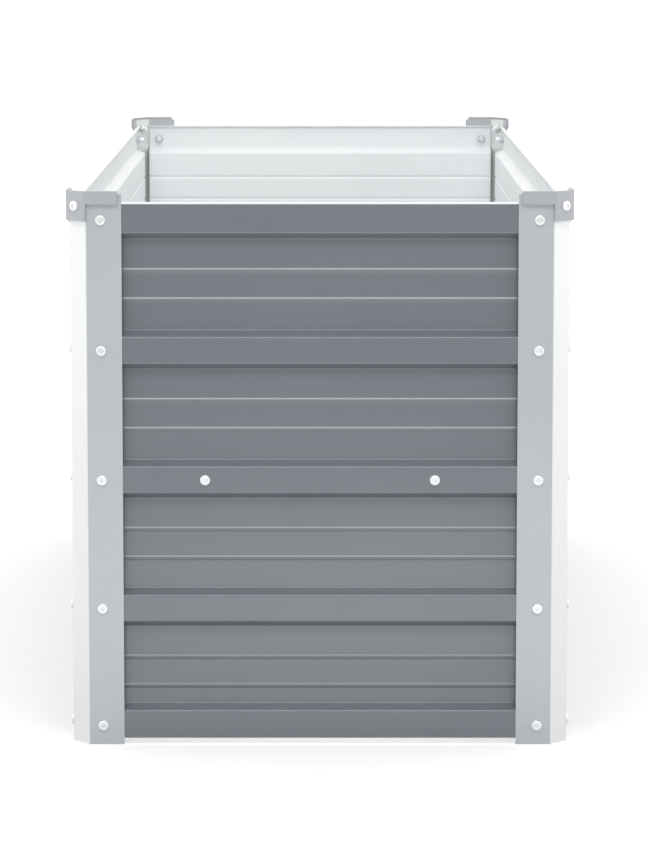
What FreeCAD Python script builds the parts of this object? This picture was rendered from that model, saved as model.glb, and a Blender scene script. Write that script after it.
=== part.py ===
import FreeCAD, Part
import os
import re
import Sketcher

# A raised garden bed of coated sheet steel, bolted together, open at the top and the bottom.
# Millimetres. X runs across the bed, Y along it (the front end wall faces -Y), Z up from the ground.
# The origin is on the ground, in the middle of the bed.

os.makedirs("parts", exist_ok=True)
same_place = 1e-4
shortest_bend = 5
doc = FreeCAD.newDocument("raised_garden_bed")

# ---------------------------------------------------------------- driving sizes
sizes = {
    "bed_width": (397.0, "across the outer faces of the corner posts"),
    "bed_length": (998.0, "along the outer faces of the corner posts"),
    "post_height": (443.2, "corner post, ground to top"),
    "post_wall": (1.0, "sheet of a corner post"),
    "post_chamfer": (13.3, "leg of the post's 45 degree face"),
    "post_flange": (28.2, "flat of each post flange, from its bend to its free edge"),
    "post_bend": (1.2, "inside radius of the post's bends"),
    "panel_sheet": (0.7, "sheet of a wall panel"),
    "panel_bend": (1.2, "inside radius of the panel's bends"),
    "panel_end_gap": (1.2, "from the post's bend to the panel's end"),
    "rim_drop": (6.7, "from the top of the posts down to the top of the walls"),
    "rim_lip": (4.5, "width of the lip turned inwards along the rim"),
    "ground_gap": (5.0, "bottom edge of the walls above the ground"),
    "rib_drop": (13.9, "from the top of the walls down to the middle of the top rib"),
    "rib_face": (21.2, "height of a rib's flat face"),
    "foot_face": (22.2, "height of the flat strip along the bottom edge"),
    "fold_depth": (8.5, "from the ribs' face in to the pans between them"),
    "fold_rise": (4.8, "height of a slope between rib and pan"),
    "bead_pitch": (23.3, "between the two stiffening beads of a pan"),
    "bead_offset": (0.65, "the pair of beads, below the middle between two ribs"),
    "bead_width": (4.4, "height of a stiffening bead on the wall"),
    "bead_proud": (1.2, "how far a bead stands out of its pan"),
    "plate_sheet": (3.0, "thickness of a corner plate"),
    "plate_gap": (0.2, "between a corner plate and its post"),
    "plate_reach": (38.5, "from the post's corner to the end of a plate's wing"),
    "plate_rise": (2.4, "top of a corner plate above the top of the post"),
    "plate_face": (24.0, "height of a corner plate's 45 degree face"),
    "wing_face": (10.4, "height of a corner plate's wings"),
    "bolt_shank": (5.0, "thread diameter"),
    "bolt_length": (10.0, "bolt, under the head"),
    "head_across": (8.4, "diameter of a bolt head"),
    "head_height": (2.4, "height of a bolt head"),
    "head_round": (1.5, "rounding of a bolt head's edge"),
    "recess_width": (1.1, "width of the cross recess"),
    "recess_span": (4.4, "length of the cross recess"),
    "recess_depth": (1.0, "depth of the cross recess"),
    "tip_chamfer": (0.5, "chamfer at a bolt's tip"),
    "nut_across": (8.0, "across the flats of a nut"),
    "nut_height": (4.0, "height of a nut"),
    "nut_chamfer": (0.5, "chamfer on the free end of a nut"),
    "thread_gap": (0.1, "between a bolt and its nut, each side"),
    "hole_gap": (0.3, "between a bolt and its hole, each side"),
    "bolt_inset": (11.5, "from the post's bend to its row of bolts"),
    "foot_bolt": (15.4, "lowest bolt above the ground"),
    "foot_short": (8.8, "the lowest bolt, short of a full rib pitch below its rib"),
    "seam_pitch": (183.0, "from seam bolt to seam bolt"),
}

# sizes that follow from the ones above
derived = {
    "rim_height": "(post_height - rim_drop)",
    "rib_pitch": "((rim_height - rib_drop - foot_bolt + foot_short) / 4)",
    "seam_height": "(rim_height - rib_drop - 2 * rib_pitch)",
    "bead_drop": "((rib_pitch - bead_pitch) / 2 + bead_offset)",
}

sheet = doc.addObject("Spreadsheet::Sheet", "Sizes")
for row, (name, (number, note)) in enumerate(sizes.items(), start=1):
    sheet.set(f"A{row}", note)
    sheet.set(f"B{row}", str(number))
    sheet.setAlias(f"B{row}", name)
doc.recompute()


def bound(formula):
    # the same formula, with each derived size written out and each driving size read from its cell
    def read(word):
        name = word[0]
        if name in derived:
            return bound(derived[name])
        return f"Sizes.{name}" if name in sizes else name

    return re.sub(r"[a-z_]+", read, formula)


def worth(formula):
    return float(sheet.evalExpression(bound(formula)))


# ---------------------------------------------------------------- helpers
def new_body(label):
    body = doc.addObject("PartDesign::Body", label)
    body.Label = label
    return body


def new_sketch(body, name, plane):
    roles = {feature.Role: feature for feature in body.Origin.OriginFeatures}
    sketch = body.newObject("Sketcher::SketchObject", name)
    sketch.AttachmentSupport = [(roles[plane], "")]
    sketch.MapMode = "FlatFace"
    return sketch


def hold(sketch, rules):
    # adds constraints given as (kind, what they act on, formula), each bound to its formula
    made = [Sketcher.Constraint(kind, *where, worth(formula)) for kind, where, formula in rules]
    for index, (kind, where, formula) in zip(sketch.addConstraint(made), rules):
        sketch.setExpression(f"Constraints[{index}]", bound(formula))


def at(geometry, point, across, up):
    # rules that hold one point of a sketch at two formulas from the sketch's origin
    where = (-1, 1, geometry, point)
    return [("DistanceX", where, across), ("DistanceY", where, up)]


def draw_outline(sketch, corners):
    # a closed outline of straight lines through corners given as pairs of formulas
    places = [FreeCAD.Vector(worth(across), worth(up), 0) for across, up in corners]
    first = sketch.GeometryCount
    count = len(corners)
    lines = [Part.LineSegment(places[i], places[(i + 1) % count]) for i in range(count)]
    sketch.addGeometry(lines, False)
    joins = [Sketcher.Constraint("Coincident", first + i - 1, 2, first + i, 1) for i in range(1, count)]
    joins.append(Sketcher.Constraint("Coincident", first + count - 1, 2, first, 1))
    sketch.addConstraint(joins)
    rules = []
    for i, (across, up) in enumerate(corners):
        rules += at(first + i, 1, across, up)
    hold(sketch, rules)


def draw_circles(sketch, centres, radius):
    rules = []
    for across, up in centres:
        centre = FreeCAD.Vector(worth(across), worth(up), 0)
        index = sketch.addGeometry(Part.Circle(centre, FreeCAD.Vector(0, 0, 1), worth(radius)), False)
        rules += at(index, 3, across, up) + [("Radius", (index,), radius)]
    hold(sketch, rules)


def pad(body, name, sketch, length, side="One side", towards_back=False):
    feature = body.newObject("PartDesign::Pad", name)
    feature.Profile = sketch
    feature.SideType = side
    feature.Reversed = towards_back
    feature.setExpression("Length", bound(length))
    doc.recompute()
    return feature


def cut_through(body, name, sketch):
    feature = body.newObject("PartDesign::Pocket", name)
    feature.Profile = sketch
    feature.SideType = "Symmetric"
    feature.Type = "ThroughAll"
    doc.recompute()
    return feature


def cut_to(body, name, sketch, depth, towards_back=False):
    feature = body.newObject("PartDesign::Pocket", name)
    feature.Profile = sketch
    feature.Reversed = towards_back
    feature.setExpression("Length", bound(depth))
    doc.recompute()
    return feature


def edges_at(shape, places):
    # names of the straight edges whose middle, seen along the pad, lies on one of the places
    names = []
    for i, edge in enumerate(shape.Edges, start=1):
        middle = edge.valueAt((edge.FirstParameter + edge.LastParameter) / 2)
        for place in places:
            if edge.Length > shortest_bend and place(middle) < same_place:
                names.append(f"Edge{i}")
                break
    return names


def round_bends(body, name, base, places, radius):
    feature = body.newObject("PartDesign::Fillet", name)
    feature.Base = (base, edges_at(base.Shape, places))
    feature.setExpression("Radius", bound(radius))
    doc.recompute()
    return feature


def is_convex(corners, i):
    # true where the outline, drawn anticlockwise, turns left
    (ax, ay), (bx, by), (cx, cy) = corners[i - 1], corners[i], corners[(i + 1) % len(corners)]
    return (bx - ax) * (cy - by) - (by - ay) * (cx - bx) > 0


def bend_sheet(body, base, outer, inner, locate, inside_radius, sheet_name):
    # rounds each bend of a folded sheet: inside_radius within the bend, one sheet more outside it.
    # outer and inner are the two faces' corners in the same order, and their ends are cut edges.
    loop = outer + inner[::-1]
    places = [(worth(across), worth(up)) for across, up in loop]
    area = sum(places[i - 1][0] * places[i][1] - places[i][0] * places[i - 1][1] for i in range(len(places)))
    cut_edges = {0, len(outer) - 1, len(outer), len(loop) - 1}
    large, small = [], []
    for i, place in enumerate(places):
        if i not in cut_edges:
            group = large if is_convex(places, i) == (area > 0) else small
            group.append(locate(place))
    outside = round_bends(body, body.Name + "_outside_bends", base, large, f"{inside_radius} + {sheet_name}")
    return round_bends(body, body.Name + "_inside_bends", outside, small, inside_radius)


# ---------------------------------------------------------------- where the four corners and walls stand
# A corner piece is drawn with the post's outer corner at the origin and its flanges along +X and +Y.
corners = {
    "front_left": ("-bed_width / 2", "-bed_length / 2", 0),
    "front_right": ("bed_width / 2", "-bed_length / 2", 90),
    "rear_right": ("bed_width / 2", "bed_length / 2", 180),
    "rear_left": ("-bed_width / 2", "bed_length / 2", 270),
}

# A wall piece is drawn with its ribs' outer face on the XZ plane and the bed's inside towards +Y.
# Each kind of wall has its length, its columns of post bolts, and its seam bolts counted in seam pitches.
wall_kinds = {
    "end": (
        "bed_width - 2 * post_chamfer - 2 * panel_end_gap",
        "(bed_width / 2 - post_chamfer - bolt_inset)",
        [-0.5, 0.5],
    ),
    "long": (
        "bed_length - 2 * post_chamfer - 2 * panel_end_gap",
        "(bed_length / 2 - post_chamfer - bolt_inset)",
        [-2, -1, 0, 1, 2],
    ),
}
walls = {
    "front": ("end", "0", "-bed_length / 2 + post_wall", 0),
    "right": ("long", "bed_width / 2 - post_wall", "0", 90),
    "rear": ("end", "0", "bed_length / 2 - post_wall", 180),
    "left": ("long", "-bed_width / 2 + post_wall", "0", 270),
}


def stand(thing, across, along, turn, up="0"):
    thing.Placement = FreeCAD.Placement(FreeCAD.Vector(), FreeCAD.Rotation(FreeCAD.Vector(0, 0, 1), turn))
    thing.setExpression(".Placement.Base.x", bound(across))
    thing.setExpression(".Placement.Base.y", bound(along))
    thing.setExpression(".Placement.Base.z", bound(up))


def piece(label, make, across, along, turn, up="0"):
    # one piece of a make that is drawn once, standing in its own place
    body = new_body(label)
    base = body.newObject("PartDesign::FeatureBase", label + "_make")
    base.BaseFeature = make
    body.Tip = base
    stand(body, across, along, turn, up)
    subparts.append(body)


hole_radius = "bolt_shank / 2 + hole_gap"
mitre_45 = "(sqrt(2) - 1)"
facing_the_corner = FreeCAD.Placement(FreeCAD.Vector(), FreeCAD.Rotation(FreeCAD.Vector(0, 1, 0), -45))
subparts = []


# ---------------------------------------------------------------- corner posts
def corner_post(label):
    body = new_body(label)
    outer = [
        ("post_chamfer + post_flange", "0"),
        ("post_chamfer", "0"),
        ("0", "post_chamfer"),
        ("0", "post_chamfer + post_flange"),
    ]
    inner = [
        ("post_chamfer + post_flange", "post_wall"),
        (f"post_chamfer + {mitre_45} * post_wall", "post_wall"),
        ("post_wall", f"post_chamfer + {mitre_45} * post_wall"),
        ("post_wall", "post_chamfer + post_flange"),
    ]
    section = new_sketch(body, label + "_section", "XY_Plane")
    draw_outline(section, outer + inner[::-1])
    angle = pad(body, label + "_angle", section, "post_height")

    def locate(place):
        return lambda point: abs(point.x - place[0]) + abs(point.y - place[1])

    bend_sheet(body, angle, outer, inner, locate, "post_bend", "post_wall")
    for side, plane in (("end", "XZ_Plane"), ("long", "YZ_Plane")):
        holes = new_sketch(body, f"{label}_{side}_holes", plane)
        draw_circles(holes, [(bolt_row, height) for height in bolt_heights], hole_radius)
        cut_through(body, f"{label}_{side}_drilling", holes)
    plate_hole = new_sketch(body, label + "_plate_hole", "XZ_Plane")
    plate_hole.AttachmentOffset = facing_the_corner
    draw_circles(plate_hole, [("0", plate_bolt_height)], hole_radius)
    cut_through(body, label + "_plate_drilling", plate_hole)
    return body


bolt_row = "post_chamfer + bolt_inset"
rib_bolts = [f"seam_height + {step} * rib_pitch" for step in (-1, 0, 1, 2)]
bolt_heights = ["foot_bolt"] + rib_bolts
plate_bolt_height = "(post_height + plate_rise - plate_face / 2)"
post_make = corner_post("corner_post")
for corner, (across, along, turn) in corners.items():
    piece(f"corner_post_{corner}", post_make, across, along, turn)


# ---------------------------------------------------------------- corner plates
def corner_plate(label):
    # its own ground is the bottom edge of the 45 degree face
    body = new_body(label)
    back = "plate_gap"
    front = "(plate_gap + plate_sheet)"
    outer, inner = [
        [
            ("plate_reach", f"-{offset}"),
            (f"post_chamfer - {mitre_45} * {offset}", f"-{offset}"),
            (f"-{offset}", f"post_chamfer - {mitre_45} * {offset}"),
            (f"-{offset}", "plate_reach"),
        ]
        for offset in (front, back)
    ]
    section = new_sketch(body, label + "_section", "XY_Plane")
    draw_outline(section, outer + inner[::-1])
    blank = pad(body, label + "_blank", section, "plate_face")

    def locate(place):
        return lambda point: abs(point.x - place[0]) + abs(point.y - place[1])

    bend_sheet(body, blank, outer, inner, locate, "post_bend + post_wall + plate_gap", "plate_sheet")
    relief = new_sketch(body, label + "_relief", "XY_Plane")
    near, far = "post_chamfer", "plate_reach + plate_sheet"
    low, high = f"-{front} - plate_sheet", "plate_sheet"
    draw_outline(relief, [(near, low), (far, low), (far, high), (near, high)])
    draw_outline(relief, [(low, near), (low, far), (high, far), (high, near)])
    cut_to(body, label + "_wing_relief", relief, "plate_face - wing_face", towards_back=True)
    hole = new_sketch(body, label + "_hole", "XZ_Plane")
    hole.AttachmentOffset = facing_the_corner
    draw_circles(hole, [("0", "plate_face / 2")], hole_radius)
    cut_through(body, label + "_drilling", hole)
    return body


plate_make = corner_plate("corner_plate")
for corner, (across, along, turn) in corners.items():
    piece(f"corner_plate_{corner}", plate_make, across, along, turn, "post_height + plate_rise - plate_face")


# ---------------------------------------------------------------- wall panels
def mitre(run, rise):
    # shift of a bend's corner from one face of the sheet to the other, between an upright and a slope
    return f"panel_sheet * (sqrt(({run})^2 + ({rise})^2) - ({rise})) / ({run})"


def add_bead(outer, inner, middle):
    # a small ridge that stands out of the pan
    half = "bead_width / 2"
    shift = mitre("bead_proud", half)
    pan_back = "fold_depth + panel_sheet"
    crest_back = f"fold_depth - bead_proud + panel_sheet * sqrt(bead_proud^2 + ({half})^2) / ({half})"
    outer += [
        ("fold_depth", f"{middle} + {half}"),
        ("fold_depth - bead_proud", middle),
        ("fold_depth", f"{middle} - {half}"),
    ]
    inner += [
        (pan_back, f"{middle} + {half} - {shift}"),
        (crest_back, middle),
        (pan_back, f"{middle} - {half} + {shift}"),
    ]


def add_pan(outer, inner, rib, start, top, bottom):
    # from the rib's lower edge (its face at depth start) in to the pan, over two beads, and out again
    upper = mitre(f"fold_depth - {start}", "fold_rise")
    lower = mitre("fold_depth", "fold_rise")
    pan_back = "fold_depth + panel_sheet"
    outer += [(start, top), ("fold_depth", f"{top} - fold_rise")]
    inner += [(f"{start} + panel_sheet", f"{top} + {upper}"), (pan_back, f"{top} - fold_rise + {upper}")]
    add_bead(outer, inner, f"{rib} - bead_drop")
    add_bead(outer, inner, f"{rib} - bead_drop - bead_pitch")
    outer += [("fold_depth", f"{bottom} + fold_rise"), ("0", bottom)]
    inner += [(pan_back, f"{bottom} + fold_rise - {lower}"), ("panel_sheet", f"{bottom} - {lower}")]


def rib_middle(step):
    return f"seam_height + {step} * rib_pitch"


def upper_section():
    outer = [("rim_lip", "rim_height"), ("0", "rim_height")]
    inner = [("rim_lip", "rim_height - panel_sheet"), ("panel_sheet", "rim_height - panel_sheet")]
    for step in (2, 1):
        rib, below = rib_middle(step), rib_middle(step - 1)
        add_pan(outer, inner, rib, "0", f"{rib} - rib_face / 2", f"{below} + rib_face / 2")
    outer.append(("0", "seam_height - rib_face / 2"))
    inner.append(("panel_sheet", "seam_height - rib_face / 2"))
    return outer, inner


def lower_section():
    # its top strip lies one sheet further in, behind the upper panel's lowest rib
    rib, below = rib_middle(0), rib_middle(-1)
    outer = [("panel_sheet", "seam_height + rib_face / 2")]
    inner = [("2 * panel_sheet", "seam_height + rib_face / 2")]
    add_pan(outer, inner, rib, "panel_sheet", f"{rib} - rib_face / 2", f"{below} + rib_face / 2")
    add_pan(outer, inner, below, "0", f"{below} - rib_face / 2", "ground_gap + foot_face")
    outer.append(("0", "ground_gap"))
    inner.append(("panel_sheet", "ground_gap"))
    return outer, inner


def wall_panel(label, section_corners, heights, width, bolt_column, seam_steps):
    body = new_body(label)
    outer, inner = section_corners
    section = new_sketch(body, label + "_section", "YZ_Plane")
    draw_outline(section, outer + inner[::-1])
    folded = pad(body, label + "_folded", section, width, side="Symmetric")

    def locate(place):
        return lambda point: abs(point.y - place[0]) + abs(point.z - place[1])

    bend_sheet(body, folded, outer, inner, locate, "panel_bend", "panel_sheet")
    holes = new_sketch(body, label + "_holes", "XZ_Plane")
    places = [(f"{side} * {bolt_column}", height) for height in heights for side in (-1, 1)]
    places += [(f"{step} * seam_pitch", "seam_height") for step in seam_steps]
    draw_circles(holes, places, hole_radius)
    cut_through(body, label + "_drilling", holes)
    return body


for kind, layout in wall_kinds.items():
    upper_make = wall_panel(f"{kind}_upper_panel", upper_section(), rib_bolts[1:], *layout)
    lower_make = wall_panel(f"{kind}_lower_panel", lower_section(), bolt_heights[:3], *layout)
    for name, (wall_kind, across, along, turn) in walls.items():
        if wall_kind == kind:
            piece(f"{name}_upper_panel", upper_make, across, along, turn)
            piece(f"{name}_lower_panel", lower_make, across, along, turn)


# ---------------------------------------------------------------- one bolt and one nut
# Drawn with the seat under the head (or the nut's bearing face) at the origin and the thread along +Y.
def bolt(label):
    body = new_body(label)
    half = new_sketch(body, label + "_half", "XY_Plane")
    profile = [
        ("0", "-head_height"),
        ("head_across / 2", "-head_height"),
        ("head_across / 2", "0"),
        ("bolt_shank / 2", "0"),
        ("bolt_shank / 2", "bolt_length - tip_chamfer"),
        ("bolt_shank / 2 - tip_chamfer", "bolt_length"),
        ("0", "bolt_length"),
    ]
    draw_outline(half, profile)
    turned = body.newObject("PartDesign::Revolution", label + "_turned")
    turned.Profile = half
    turned.ReferenceAxis = (half, ["V_Axis"])
    turned.Angle = 360
    doc.recompute()
    top = -worth("head_height")
    around = worth("3 * head_across")
    rim = [
        f"Edge{i}"
        for i, edge in enumerate(turned.Shape.Edges, start=1)
        if edge.Length > around and abs(edge.BoundBox.YMax - top) < same_place
    ]
    domed = body.newObject("PartDesign::Fillet", label + "_domed")
    domed.Base = (turned, rim)
    domed.setExpression("Radius", bound("head_round"))
    doc.recompute()
    cross = new_sketch(body, label + "_cross", "XZ_Plane")
    cross.setExpression("AttachmentOffset.Base.z", bound("head_height"))
    thin, wide = "recess_width / 2", "recess_span / 2"
    quarter = [(thin, wide), (thin, thin), (wide, thin)]
    signs = [("", ""), ("", "-"), ("-", "-"), ("-", "")]
    arms = []
    for i, (flip_x, flip_z) in enumerate(signs):
        arm = quarter if i % 2 == 0 else quarter[::-1]
        arms += [(flip_x + x, flip_z + z) for x, z in arm]
    draw_outline(cross, arms)
    cut_to(body, label + "_recess", cross, "recess_depth")
    return body


def nut(label):
    body = new_body(label)
    hexagon = new_sketch(body, label + "_hexagon", "XZ_Plane")
    point, half_point, flat = "nut_across / sqrt(3)", "nut_across / sqrt(3) / 2", "nut_across / 2"
    draw_outline(
        hexagon,
        [
            (point, "0"),
            (half_point, flat),
            ("-" + half_point, flat),
            ("-" + point, "0"),
            ("-" + half_point, "-" + flat),
            (half_point, "-" + flat),
        ],
    )
    blank = pad(body, label + "_blank", hexagon, "nut_height", towards_back=True)
    free_end = [
        f"Edge{i}"
        for i, edge in enumerate(blank.Shape.Edges, start=1)
        if abs(edge.BoundBox.YMin - worth("nut_height")) < same_place
    ]
    eased = body.newObject("PartDesign::Chamfer", label + "_eased")
    eased.Base = (blank, free_end)
    eased.setExpression("Size", bound("nut_chamfer"))
    doc.recompute()
    bore = new_sketch(body, label + "_bore", "XZ_Plane")
    draw_circles(bore, [("0", "0")], "bolt_shank / 2 + thread_gap")
    cut_through(body, label + "_tapping", bore)
    return body


pan_bolt = bolt("pan_bolt")
hex_nut = nut("hex_nut")


# ---------------------------------------------------------------- fasteners, in groups
def copy_of(master, across, inwards, up, turn=0):
    link = doc.addObject("App::Link", master.Label + "_copy")
    link.LinkedObject = master
    stand(link, across, inwards, turn, up)
    return link


def group(label, copies, across, along, turn):
    compound = doc.addObject("Part::Compound", label)
    compound.Label = label
    compound.Links = copies
    stand(compound, across, along, turn)
    subparts.append(compound)


# a post's two rows, one in each flange, and the nuts behind one sheet or, at the seam, two
post_bolts, post_nuts = [], []
for height in bolt_heights:
    sheets = 2 if height == rib_bolts[1] else 1
    nut_seat = f"post_wall + {sheets} * panel_sheet"
    post_bolts.append(copy_of(pan_bolt, bolt_row, "0", height))
    post_bolts.append(copy_of(pan_bolt, "0", bolt_row, height, -90))
    post_nuts.append(copy_of(hex_nut, bolt_row, nut_seat, height))
    post_nuts.append(copy_of(hex_nut, nut_seat, bolt_row, height, -90))

# the one bolt through a corner plate and the post's 45 degree face
plate_seat = "post_chamfer / 2 - (plate_gap + plate_sheet) / sqrt(2)"
plate_nut_seat = "post_chamfer / 2 + post_wall / sqrt(2)"
plate_bolts = [copy_of(pan_bolt, plate_seat, plate_seat, plate_bolt_height, -45)]
plate_nuts = [copy_of(hex_nut, plate_nut_seat, plate_nut_seat, plate_bolt_height, -45)]

for corner, (across, along, turn) in corners.items():
    group(f"post_bolts_{corner}", post_bolts, across, along, turn)
    group(f"post_nuts_{corner}", post_nuts, across, along, turn)
    group(f"plate_bolt_{corner}", plate_bolts, across, along, turn)
    group(f"plate_nut_{corner}", plate_nuts, across, along, turn)

# the seam bolts that join a wall's two panels
for name, (kind, across, along, turn) in walls.items():
    places = [f"{step} * seam_pitch" for step in wall_kinds[kind][2]]
    seam_bolts = [copy_of(pan_bolt, place, "0", "seam_height") for place in places]
    seam_nuts = [copy_of(hex_nut, place, "2 * panel_sheet", "seam_height") for place in places]
    group(f"{name}_seam_bolts", seam_bolts, across, along, turn)
    group(f"{name}_seam_nuts", seam_nuts, across, along, turn)

# ---------------------------------------------------------------- check and write
doc.recompute()
for thing in doc.Objects:
    if "Invalid" in thing.State or "Error" in thing.State:
        raise SystemExit(f"{thing.Label} failed: {thing.State}")
for subpart in subparts:
    if subpart.Shape.isNull() or not subpart.Shape.isValid():
        raise SystemExit(f"{subpart.Label} has no valid shape")
for subpart in subparts:
    subpart.Shape.exportStep(f"parts/{subpart.Label}.step")
    print(subpart.Label, len(subpart.Shape.Solids), "solids", round(subpart.Shape.Volume), "mm3")
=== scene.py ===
import math

import bpy
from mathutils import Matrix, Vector


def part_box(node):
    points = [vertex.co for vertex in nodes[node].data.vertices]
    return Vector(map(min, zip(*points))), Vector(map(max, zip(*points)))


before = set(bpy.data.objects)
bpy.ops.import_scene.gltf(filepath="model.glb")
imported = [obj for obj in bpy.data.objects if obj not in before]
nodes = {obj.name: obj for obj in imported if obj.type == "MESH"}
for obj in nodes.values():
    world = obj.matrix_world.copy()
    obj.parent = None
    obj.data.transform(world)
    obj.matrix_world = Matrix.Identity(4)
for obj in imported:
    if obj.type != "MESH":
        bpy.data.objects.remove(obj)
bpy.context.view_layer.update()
print("loaded", len(nodes), "nodes")

cornerNames = ["front_left", "front_right", "rear_right", "rear_left"]
wallFacing = {
    "front": Vector((0, -1, 0)),
    "right": Vector((1, 0, 0)),
    "rear": Vector((0, 1, 0)),
    "left": Vector((-1, 0, 0)),
}


# helpers for materials, which all read a piece's own coordinates in metres
def startMaterial(name):
    material = bpy.data.materials.new(name)
    material.use_nodes = True
    tree = material.node_tree
    place = tree.nodes.new("ShaderNodeTexCoord")
    return material, tree, tree.nodes["Principled BSDF"], place.outputs["Object"]


def addNoise(tree, place, scale, detail):
    noise = tree.nodes.new("ShaderNodeTexNoise")
    noise.inputs["Scale"].default_value = scale
    noise.inputs["Detail"].default_value = detail
    tree.links.new(place, noise.inputs["Vector"])
    return noise.outputs["Fac"]


# the default range is the one that a noise mostly keeps to
def addRange(tree, value, low, high, fromLow=0.35, fromHigh=0.65):
    spread = tree.nodes.new("ShaderNodeMapRange")
    spread.inputs["From Min"].default_value = fromLow
    spread.inputs["From Max"].default_value = fromHigh
    spread.inputs["To Min"].default_value = low
    spread.inputs["To Max"].default_value = high
    tree.links.new(value, spread.inputs["Value"])
    return spread.outputs["Result"]


def addTint(tree, factor, one, other):
    mix = tree.nodes.new("ShaderNodeMix")
    mix.data_type = "RGBA"
    mix.inputs["A"].default_value = (*one, 1)
    mix.inputs["B"].default_value = (*other, 1)
    tree.links.new(factor, mix.inputs["Factor"])
    return mix.outputs["Result"]


def addBump(tree, height, distance, strength, under=None):
    bump = tree.nodes.new("ShaderNodeBump")
    bump.inputs["Distance"].default_value = distance
    bump.inputs["Strength"].default_value = strength
    tree.links.new(height, bump.inputs["Height"])
    if under is not None:
        tree.links.new(under, bump.inputs["Normal"])
    return bump.outputs["Normal"]


# a coat on metal: a slow drift of tone, a fine grain, the sheet's own slight waves and orange peel on them
def coatedSheet(name, look):
    material, tree, shader, place = startMaterial(name)
    drift = addRange(tree, addNoise(tree, place, look["driftScale"], detail=3), low=0, high=1)
    tree.links.new(addTint(tree, drift, look["color"], look["otherColor"]), shader.inputs["Base Color"])
    grain = addNoise(tree, place, look["grainScale"], detail=2)
    smoothest = look["roughness"] - look["roughSpread"]
    roughest = look["roughness"] + look["roughSpread"]
    tree.links.new(addRange(tree, grain, smoothest, roughest), shader.inputs["Roughness"])
    waves = addNoise(tree, place, look["waveScale"], detail=1)
    wavy = addBump(tree, waves, look["waveHeight"], strength=1)
    peel = addNoise(tree, place, look["peelScale"], detail=2)
    peeled = addBump(tree, peel, look["peelHeight"], look["peelStrength"], under=wavy)
    tree.links.new(peeled, shader.inputs["Normal"])
    shader.inputs["Metallic"].default_value = look["metallic"]
    shader.inputs["Specular IOR Level"].default_value = look["specular"]
    return material


# scales are per metre, heights in metres
wallPaintLook = {
    "color": (0.146, 0.163, 0.188),
    "otherColor": (0.156, 0.173, 0.198),
    "driftScale": 7,
    "grainScale": 420,
    "roughness": 0.25,
    "roughSpread": 0.012,  # more than this shows as mottling where the paint mirrors the floor
    "waveScale": 5,
    "waveHeight": 0.0006,
    "peelScale": 900,
    "peelHeight": 0.000006,
    "peelStrength": 0.5,
    "metallic": 0.0,
    "specular": 0.9,
}
backCoatLook = {
    "color": (0.885, 0.90, 0.91),
    "otherColor": (0.905, 0.918, 0.927),
    "driftScale": 6,
    "grainScale": 380,
    "roughness": 0.55,
    "roughSpread": 0.06,
    "waveScale": 5,
    "waveHeight": 0.0006,
    "peelScale": 800,
    "peelHeight": 0.00003,
    "peelStrength": 0.5,
    "metallic": 0.0,
    "specular": 0.4,
}
# a pale copy of the back coat for the top of the rim's lip: a painted highlight where the rim catches the
# light
rimHighlightLook = dict(backCoatLook, color=(0.78, 0.797, 0.81), otherColor=(0.795, 0.812, 0.825))
cutEdgeLook = {
    "color": (0.5, 0.51, 0.52),
    "otherColor": (0.6, 0.61, 0.62),
    "driftScale": 60,
    "grainScale": 1500,
    "roughness": 0.45,
    "roughSpread": 0.1,
    "waveScale": 40,
    "waveHeight": 0.00002,
    "peelScale": 2500,
    "peelHeight": 0.00002,
    "peelStrength": 0.6,
    "metallic": 0.8,
    "specular": 0.5,
}
postPaintLook = {
    "color": (0.485, 0.51, 0.528),
    "otherColor": (0.505, 0.53, 0.548),
    "driftScale": 9,
    "grainScale": 700,
    "roughness": 0.34,
    "roughSpread": 0.05,
    "waveScale": 8,
    "waveHeight": 0.0002,
    "peelScale": 1100,
    "peelHeight": 0.00003,
    "peelStrength": 0.7,
    "metallic": 0.2,
    "specular": 0.5,
}
# the post paint made paler for the corner faces: a painted sheen standing in for the light they catch from
# the sides
cornerSheenLook = dict(postPaintLook, color=(0.775, 0.795, 0.79), otherColor=(0.795, 0.815, 0.81))
platePaintLook = {
    "color": (0.43, 0.445, 0.466),
    "otherColor": (0.455, 0.47, 0.49),
    "driftScale": 18,
    "grainScale": 900,
    "roughness": 0.5,
    "roughSpread": 0.06,
    "waveScale": 20,
    "waveHeight": 0.0001,
    "peelScale": 1300,
    "peelHeight": 0.00004,
    "peelStrength": 0.8,
    "metallic": 0.1,
    "specular": 0.4,
}
boltZincLook = {
    "color": (0.80, 0.82, 0.83),
    "otherColor": (0.86, 0.87, 0.88),
    "driftScale": 120,
    "grainScale": 2200,
    "roughness": 0.36,
    "roughSpread": 0.08,
    "waveScale": 200,
    "waveHeight": 0.00001,
    "peelScale": 3500,
    "peelHeight": 0.00001,
    "peelStrength": 0.5,
    "metallic": 0.55,
    "specular": 0.5,
}
recessLook = dict(boltZincLook, roughness=0.5)
nutZincLook = dict(
    boltZincLook,
    color=(0.62, 0.63, 0.64),
    otherColor=(0.70, 0.71, 0.72),
    roughness=0.42,
    metallic=0.7,
)

wallPaint = coatedSheet("wallPaint", wallPaintLook)
backCoat = coatedSheet("backCoat", backCoatLook)
rimPaintedHighlight = coatedSheet("rimPaintedHighlight", rimHighlightLook)
cutEdge = coatedSheet("cutEdge", cutEdgeLook)
postPaint = coatedSheet("postPaint", postPaintLook)
cornerPaintedSheen = coatedSheet("cornerPaintedSheen", cornerSheenLook)
platePaint = coatedSheet("platePaint", platePaintLook)
boltZinc = coatedSheet("boltZinc", boltZincLook)
recessZinc = coatedSheet("recessZinc", recessLook)
nutZinc = coatedSheet("nutZinc", nutZincLook)
print("materials made")


def dress(node, *coats):
    mesh = nodes[node].data
    mesh.materials.clear()
    for coat in coats:
        mesh.materials.append(coat)
    return mesh


def dressByFace(node, coatOf, *coats):
    for face in dress(node, *coats).polygons:
        face.material_index = coats.index(coatOf(face))
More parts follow.
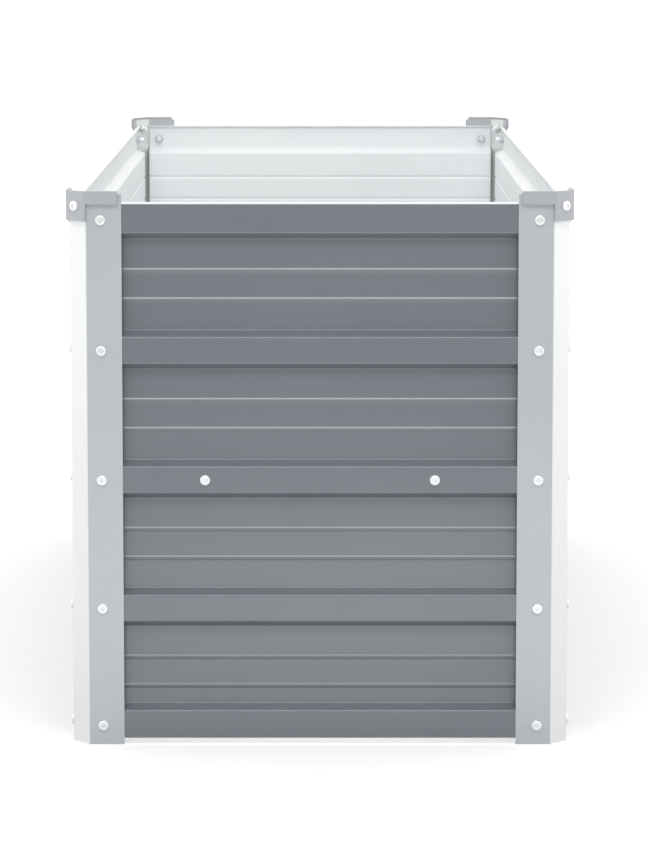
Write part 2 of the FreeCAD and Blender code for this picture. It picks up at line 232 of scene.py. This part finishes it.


# the walls: paint outside, back coat inside and under the lip along the rim, a pale painted highlight on
# the lip's top and its bend, bare metal on the cut edges
wallSides = {
    "edgeOn": 0.15,  # a face this nearly edge-on to the wall is a cut edge
    "lipDepth": 0.003,  # below the rim, a little more than the lip and its bend take up
    "lipTilt": 0.25,  # a face there that points this much up or down is on the lip
}


def paintWall(node, outwards):
    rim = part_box(node)[1].z

    def coatOf(face):
        byRim = "upper" in node and face.center.z > rim - wallSides["lipDepth"]
        if byRim and abs(face.normal.z) > wallSides["lipTilt"]:
            # faces on the lip that point up get the painted highlight, those that point down the back coat
            return rimPaintedHighlight if face.normal.z > 0 else backCoat
        facing = face.normal.dot(outwards)
        if abs(facing) <= wallSides["edgeOn"]:
            return cutEdge
        return wallPaint if facing > 0 else backCoat

    dressByFace(node, coatOf, wallPaint, backCoat, cutEdge, rimPaintedHighlight)


# the posts: their broad corner faces are painted paler than their flanges, a painted sheen for the light
# they catch from the sides
postSides = {
    "cornerFacing": 0.85,  # a face that points this much along the corner's diagonal is a corner face
}


def paintPost(node, outwards):
    def coatOf(face):
        return cornerPaintedSheen if abs(face.normal.dot(outwards)) > postSides["cornerFacing"] else postPaint

    dressByFace(node, coatOf, postPaint, cornerPaintedSheen)


# the bolts: plated steel, duller in the cross recess of the head
boltHead = {
    "recessReach": 0.0024,  # from the bolt's axis
    "recessDepth": 0.0011,  # below the top of the head, just past the recess's floor
    "topSlack": 0.00005,  # what is nearer the top than this isn't in the recess
}


# the faces of each bolt in a node; a CAD mesh repeats its vertices, so those at one place count as one
def solidsOf(mesh):
    seat = {}
    group = [seat.setdefault(tuple(vertex.co), vertex.index) for vertex in mesh.vertices]

    def first(corner):
        while group[corner] != corner:
            group[corner] = group[group[corner]]
            corner = group[corner]
        return corner

    for edge in mesh.edges:
        one, other = (first(corner) for corner in edge.vertices)
        group[max(one, other)] = min(one, other)
    solids = {}
    for face in mesh.polygons:
        solids.setdefault(first(face.vertices[0]), []).append(face)
    return solids.values()


# each bolt's head points along one of the facings, the one that the bolt is longest in
def paintBolts(node, facings):
    mesh = nodes[node].data
    inRecess = set()
    for faces in solidsOf(mesh):
        used = {index for face in faces for index in face.vertices}
        corners = [mesh.vertices[index].co for index in used]
        low = Vector(map(min, *corners))
        high = Vector(map(max, *corners))
        middle = (low + high) / 2
        facing = max(facings, key=lambda way: max((corner - middle).dot(way) for corner in corners))
        top = max(corner.dot(facing) for corner in corners)
        for face in faces:
            depth = top - face.center.dot(facing)
            offAxis = face.center - middle
            aside = (offAxis - facing * offAxis.dot(facing)).length
            if boltHead["topSlack"] < depth < boltHead["recessDepth"] and aside < boltHead["recessReach"]:
                inRecess.add(face.index)

    def coatOf(face):
        return recessZinc if face.index in inRecess else boltZinc

    dressByFace(node, coatOf, boltZinc, recessZinc)


for wall, outwards in wallFacing.items():
    for panel in ("upper", "lower"):
        paintWall(f"{wall}_{panel}_panel", outwards)
    paintBolts(f"{wall}_seam_bolts", [outwards])
    dress(f"{wall}_seam_nuts", nutZinc)
for corner in cornerNames:
    cornerFacings = [wallFacing[side] for side in corner.split("_")]
    diagonal = sum(cornerFacings, Vector()).normalized()
    paintPost(f"corner_post_{corner}", diagonal)
    dress(f"corner_plate_{corner}", platePaint)
    paintBolts(f"post_bolts_{corner}", cornerFacings)
    dress(f"post_nuts_{corner}", nutZinc)
    paintBolts(f"plate_bolt_{corner}", [diagonal])
    dress(f"plate_nut_{corner}", nutZinc)
print("nodes dressed")

# white studio: a floor that keeps a soft shadow, and white all round
# each reach is where a glow on the floor starts to change and where it ends, in metres
studio = {
    "floorSize": 60,
    "floorColor": 0.75,
    "otherFloorColor": 0.74,
    "floorDrift": 3,
    "floorRoughness": 0.9,
    "floorSpecular": 0.1,
    "shadeReach": (0.6, 1.5),  # from the bed's middle, where the floor turns from shaded to white
    "shadeGlow": (0.33, 1.0),
    "sideReach": (0.25, 0.6),  # to left and right of the bed, the floor that the posts mirror
    "sideGlow": (0.0, 0.3),
    "frontPool": (0, -1.1, 0),  # the lit patch of floor that the near wall mirrors
    "poolReach": (0.1, 0.7),
    "poolGlow": (1.3, 0.0),
    "ambient": 0.69,
}
white = (1, 1, 1, 1)


def addMath(tree, operation, *values):
    step = tree.nodes.new("ShaderNodeMath")
    step.operation = operation
    for value, entry in zip(values, step.inputs):
        tree.links.new(value, entry)
    return step.outputs[0]


def addDistance(tree, place, centre):
    distance = tree.nodes.new("ShaderNodeVectorMath")
    distance.operation = "DISTANCE"
    distance.inputs[1].default_value = centre
    tree.links.new(place, distance.inputs[0])
    return distance.outputs["Value"]


# 1 for a ray of any of these kinds, and 0 for the rest
def addRays(tree, *kinds):
    rays = tree.nodes.new("ShaderNodeLightPath")
    found = rays.outputs[kinds[0]]
    for kind in kinds[1:]:
        found = addMath(tree, "MAXIMUM", found, rays.outputs[kind])
    return found


# the floor glows white for the camera, and for glossy rays only where the bed is to mirror it
def makeFloor():
    bpy.ops.mesh.primitive_plane_add(size=studio["floorSize"])
    floor = bpy.context.object
    floor.name = "floor"
    material, tree, shader, place = startMaterial("floorPaper")
    drift = addNoise(tree, place, studio["floorDrift"], detail=2)
    tint = addTint(tree, drift, (studio["floorColor"],) * 3, (studio["otherFloorColor"],) * 3)
    tree.links.new(tint, shader.inputs["Base Color"])
    shader.inputs["Roughness"].default_value = studio["floorRoughness"]
    shader.inputs["Specular IOR Level"].default_value = studio["floorSpecular"]
    shader.inputs["Emission Color"].default_value = white

    fromMiddle = addDistance(tree, place, (0, 0, 0))
    shade = addRange(tree, fromMiddle, *studio["shadeGlow"], *studio["shadeReach"])
    seen = addMath(tree, "MULTIPLY", shade, addRays(tree, "Is Camera Ray"))

    fromPool = addDistance(tree, place, studio["frontPool"])
    pool = addRange(tree, fromPool, *studio["poolGlow"], *studio["poolReach"])
    across = tree.nodes.new("ShaderNodeSeparateXYZ")
    tree.links.new(place, across.inputs[0])
    aside = addMath(tree, "ABSOLUTE", across.outputs["X"])
    sides = addRange(tree, aside, *studio["sideGlow"], *studio["sideReach"])
    mirrored = addMath(tree, "ADD", pool, sides)
    caught = addMath(tree, "MULTIPLY", mirrored, addRays(tree, "Is Glossy Ray", "Is Transmission Ray"))

    tree.links.new(addMath(tree, "ADD", seen, caught), shader.inputs["Emission Strength"])
    floor.data.materials.append(material)


def makeSky():
    world = bpy.data.worlds.new("studioWhite")
    bpy.context.scene.world = world
    world.use_nodes = True
    tree = world.node_tree
    background = tree.nodes["Background"]
    seen = addRays(tree, "Is Camera Ray", "Is Glossy Ray", "Is Transmission Ray")
    strength = addRange(tree, seen, low=studio["ambient"], high=1, fromLow=0, fromHigh=1)
    tree.links.new(strength, background.inputs["Strength"])
    background.inputs["Color"].default_value = white


makeFloor()
makeSky()

# where each softbox stands, the point it faces, its width and height, and its radiance in units of white
softboxes = {
    "overhead": {"place": (0, 0.2, 2.8), "aim": (0, 0, 0.2), "size": (2.0, 2.4), "white": 0.9},
    "highFront": {"place": (0, -2.2, 2.35), "aim": (0, -0.5, 0.25), "size": (2.4, 0.75), "white": 4.5},
    "highRear": {"place": (0, 2.2, 2.35), "aim": (0, 0.5, 0.25), "size": (2.4, 0.75), "white": 2.6},
    "leftSide": {"place": (-2.5, -0.35, 0.75), "aim": (0, -0.35, 0.45), "size": (2.0, 1.5), "white": 1.2},
    "rightSide": {"place": (2.5, -0.35, 0.75), "aim": (0, -0.35, 0.45), "size": (2.0, 1.5), "white": 1.2},
}


def addSoftbox(name, box):
    lamp = bpy.data.lights.new(name, "AREA")
    lamp.shape = "RECTANGLE"
    lamp.size, lamp.size_y = box["size"]
    lamp.energy = box["white"] * math.pi * lamp.size * lamp.size_y
    softbox = bpy.data.objects.new(name, lamp)
    softbox.location = box["place"]
    softbox.rotation_euler = (Vector(box["aim"]) - softbox.location).to_track_quat("-Z", "Y").to_euler()
    softbox.visible_camera = False
    bpy.context.collection.objects.link(softbox)


for name, box in softboxes.items():
    addSoftbox(name, box)
print("studio lit")

# the camera: in front of the near end wall, above it, looking slightly down
cameraView = {
    "place": (0, -3.181, 0.6609),
    "lookDown": 6.46,  # degrees
    "lens": 142.05,
    "sensor": 36,
    "shift": (0.0046, -0.15),
    "clip": (0.05, 60),
}
lens = bpy.data.cameras.new("camera")
lens.lens = cameraView["lens"]
lens.sensor_width = cameraView["sensor"]
lens.shift_x, lens.shift_y = cameraView["shift"]
lens.clip_start, lens.clip_end = cameraView["clip"]
camera = bpy.data.objects.new("camera", lens)
camera.location = cameraView["place"]
camera.rotation_euler = (math.radians(90 - cameraView["lookDown"]), 0, 0)
bpy.context.collection.objects.link(camera)
bpy.context.scene.camera = camera
bpy.context.scene.view_settings.view_transform = "Standard"
print("camera set")
